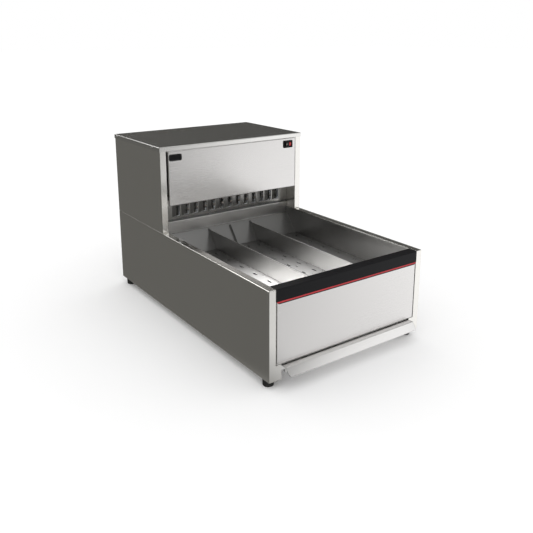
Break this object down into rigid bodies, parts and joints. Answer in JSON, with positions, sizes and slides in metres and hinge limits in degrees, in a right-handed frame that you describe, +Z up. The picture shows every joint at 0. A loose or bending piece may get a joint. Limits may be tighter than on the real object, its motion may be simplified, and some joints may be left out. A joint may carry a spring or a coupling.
{
  "type": "chip warmer",
  "caption": "Countertop chip warmer: open perforated pan with lift-out dividers and a slide-out crumb tray, under a rear hood that blows warm air through louvres.",
  "frame": {"origin": "centre of the object's box in plan, on the surface that the rubber feet stand on", "axes": "+X to the right seen from the front, +Y from the front to the back, +Z up"},
  "size_m": [0.4772, 0.8208, 0.4684],
  "materials": {
    "steel_side": "satin, brushed along the length",
    "steel_cover": "satin, brushed",
    "steel_front": "satin, brushed across",
    "steel_back": "satin",
    "steel_pan": "satin, slightly reflective",
    "steel_floor": "scratched and polished by scoops",
    "steel_divider": "half bright",
    "steel_mouth": "satin",
    "steel_louver": "satin, darkened by heat",
    "steel_tray": "satin",
    "galvanised": "dull zinc grain",
    "black_trim": "smooth black, half gloss",
    "red_line": "smooth red",
    "black_plastic": "fine grain",
    "red_lens": "clear red",
    "cream_plastic": "smooth",
    "rubber": "matt",
    "bright_fasteners": "plated",
    "insulation": "soft mineral wool board",
    "element_sheath": "oxidised sheath",
    "motor_paint": "black enamel",
    "wheel_metal": "bright",
    "sensor_metal": "bright"
  },
  "bodies": {
    "cabinet": {"back_panel_screws": "bright_fasteners", "badge_plate": "black_trim", "base_back_panel": "steel_back", "base_front_panel": "steel_front", "base_side_left": "steel_side", "base_side_right": "steel_side", "blower_deck": "galvanised", "blower_housing": "galvanised", "blower_motor": "motor_paint", "bulkhead": "steel_mouth", "cable_gland": "black_plastic", "cover_screws": "bright_fasteners", "divider_guides": "steel_pan", "foot_bolts": "bright_fasteners", "front_cross_rail": "galvanised", "front_trim_cap": "black_trim", "heater_brackets": "galvanised", "heater_duct": "galvanised", "heating_element": "element_sheath", "high_limit_switch": "sensor_metal", "hood_back_panel": "steel_back", "hood_bottom_crossbar": "steel_mouth", "hood_front_panel": "steel_front", "hood_side_left": "steel_side", "hood_side_right": "steel_side", "hood_top_cover": "steel_cover", "hood_top_crossbar": "steel_mouth", "louver_panel": "steel_louver", "pan_ledge_left": "galvanised", "pan_ledge_right": "galvanised", "perforated_floor": "steel_floor", "product_pan": "steel_pan", "rear_floor": "galvanised", "red_stripe": "red_line", "rubber_feet": "rubber", "side_insulation_left": "insulation", "side_insulation_right": "insulation", "switch_housing": "black_plastic", "temperature_probe": "sensor_metal", "terminal_block": "cream_plastic", "thermostat": "black_plastic", "tray_runner_left": "galvanised", "tray_runner_right": "galvanised"},
    "crumb_tray": {"crumb_tray": "steel_tray", "tray_lip": "steel_tray"},
    "divider_left": {"pan_divider_left": "steel_divider"},
    "divider_right": {"pan_divider_right": "steel_divider"},
    "rocker": {"power_rocker": "black_plastic", "rocker_lens": "red_lens"},
    "fan_wheel": {"blower_wheel": "wheel_metal"}
  },
  "joints": [
    {"name": "crumb_tray_slide", "type": "slide", "parent": "cabinet", "child": "crumb_tray", "axis": [0, -1, 0], "range_m": [0, 0.4]},
    {"name": "divider_left_lift", "type": "slide", "parent": "cabinet", "child": "divider_left", "axis": [0, 0, 1], "range_m": [0, 0.085]},
    {"name": "divider_right_lift", "type": "slide", "parent": "cabinet", "child": "divider_right", "axis": [0, 0, 1], "range_m": [0, 0.085]},
    {"name": "rocker_tilt", "type": "hinge", "parent": "cabinet", "child": "rocker", "pos_m": [0.1845, 0.10754, 0.4386], "axis": [0, 0, -1], "range_deg": [0, 20]},
    {"name": "fan_spin", "type": "hinge", "parent": "cabinet", "child": "fan_wheel", "pos_m": [0, 0.3175, 0.2841], "axis": [0, 0, 1], "continuous": true}
  ]
}
